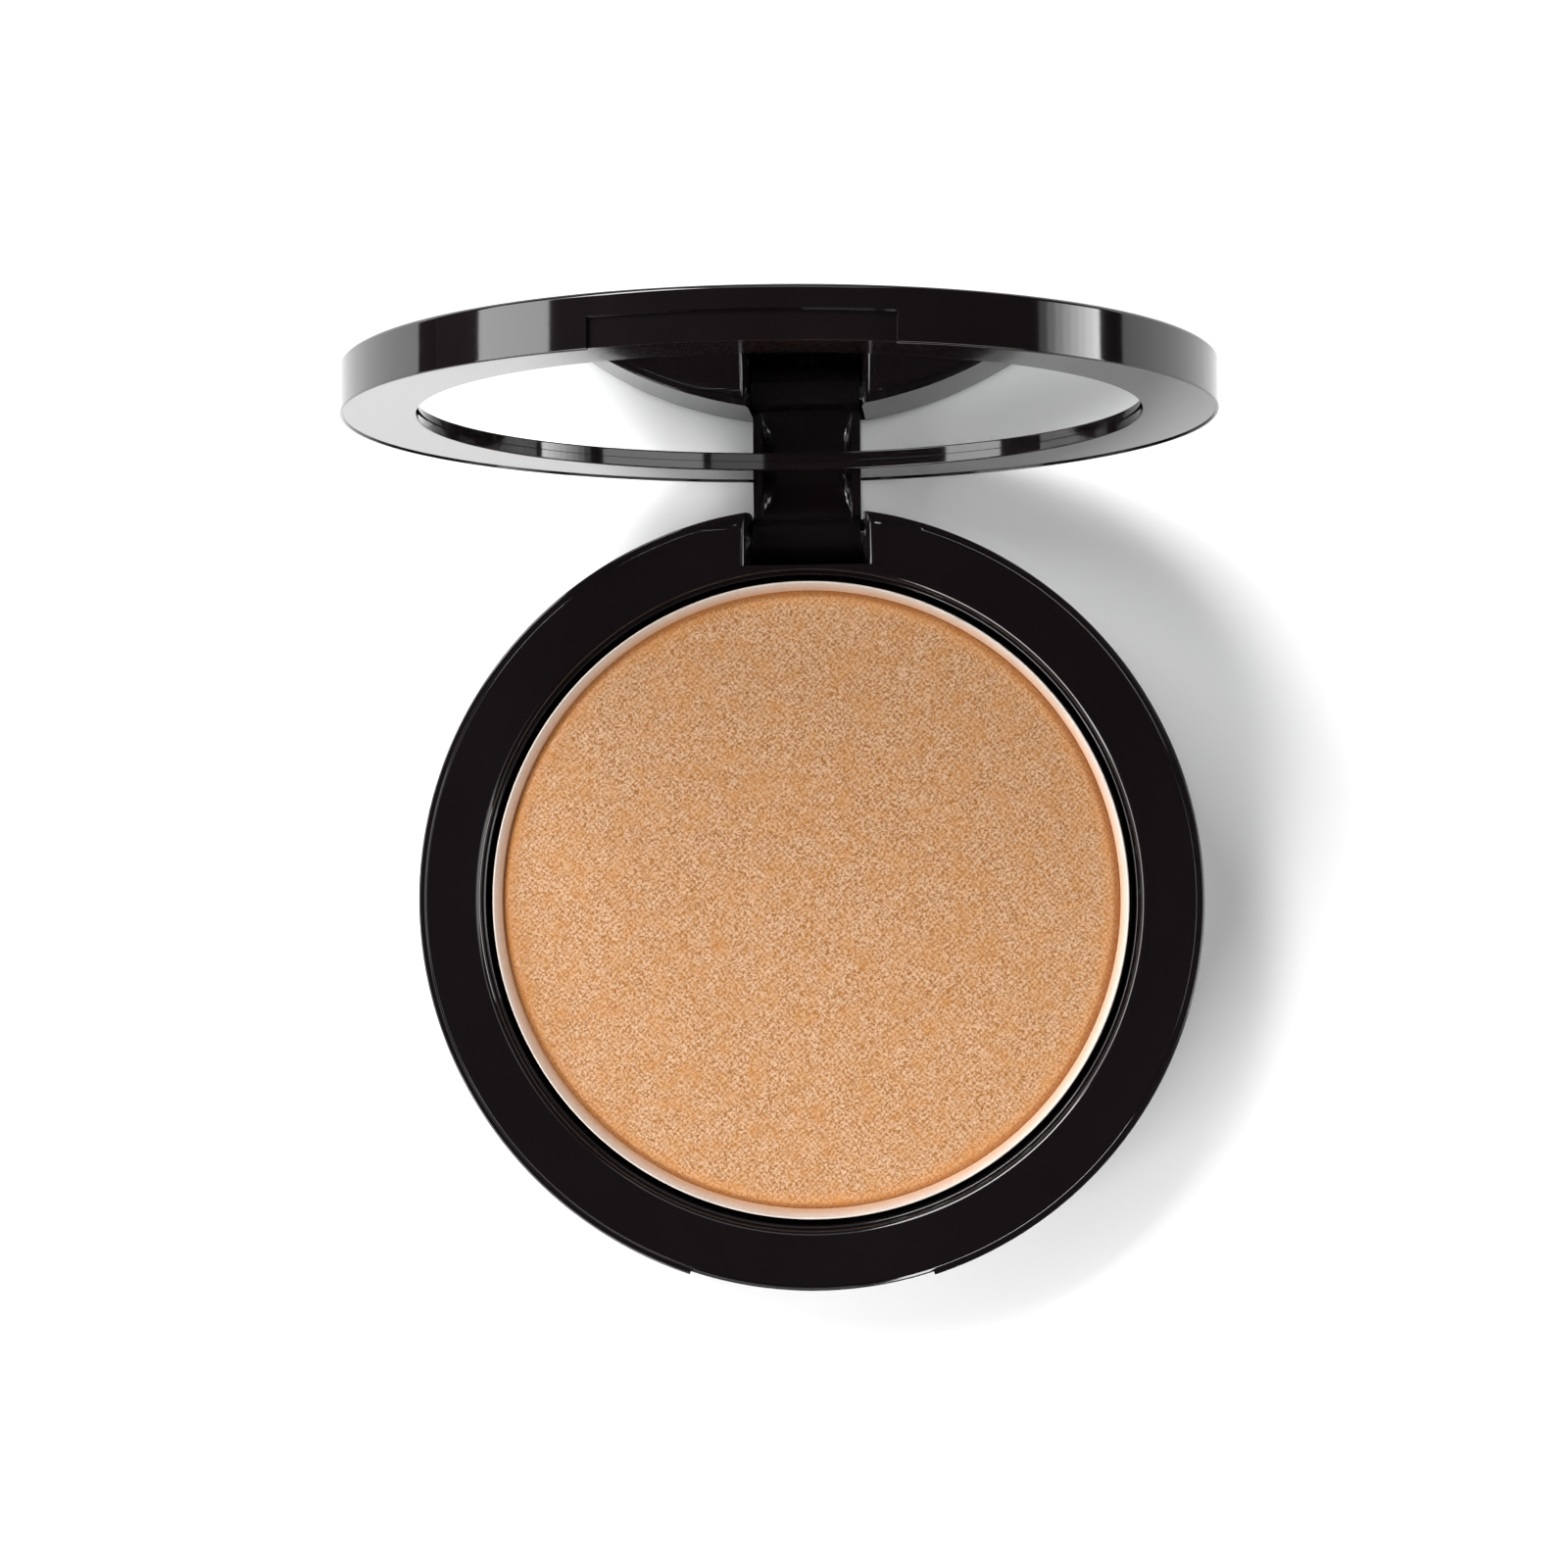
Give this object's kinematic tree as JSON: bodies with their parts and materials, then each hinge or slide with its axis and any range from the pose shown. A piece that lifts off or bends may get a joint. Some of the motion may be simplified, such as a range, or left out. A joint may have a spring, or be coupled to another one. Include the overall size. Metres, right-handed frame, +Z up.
{
  "type": "powder compact",
  "caption": "Round hinged compact with a pan of pressed powder in the base and a mirror in the lid.",
  "frame": {"origin": "centre of the flat underside of the base", "axes": "+Z up, out of the deck; +Y towards the hinge; +X to the right with the hinge at the back"},
  "size_m": [0.0726, 0.0831, 0.0729],
  "materials": {
    "case": "high-gloss black",
    "pan": "bright pressed metal",
    "powder": "pressed powder with a fine cloth grain and a soft shimmer",
    "adhesive": "adhesive film",
    "magnet": "nickel-plated magnet",
    "label": "blank satin label",
    "pin": "drawn steel",
    "mirror": "silvered glass"
  },
  "bodies": {
    "base": {"base_shell": "case", "base_deck": "case", "powder_pan": "pan", "pressed_powder": "powder", "pan_adhesive": "adhesive", "base_magnet": "magnet", "underside_label": "label", "hinge_pin": "pin"},
    "lid": {"lid_frame": "case", "lid_cover": "case", "mirror_glass": "mirror", "mirror_pad": "adhesive", "lid_magnet": "magnet"}
  },
  "joints": [
    {"name": "lid_hinge", "type": "hinge", "parent": "base", "child": "lid", "pos_m": [0, 0.0335, 0.0036], "axis": [1, 0, 0], "range_deg": [0, 92.6]}
  ]
}
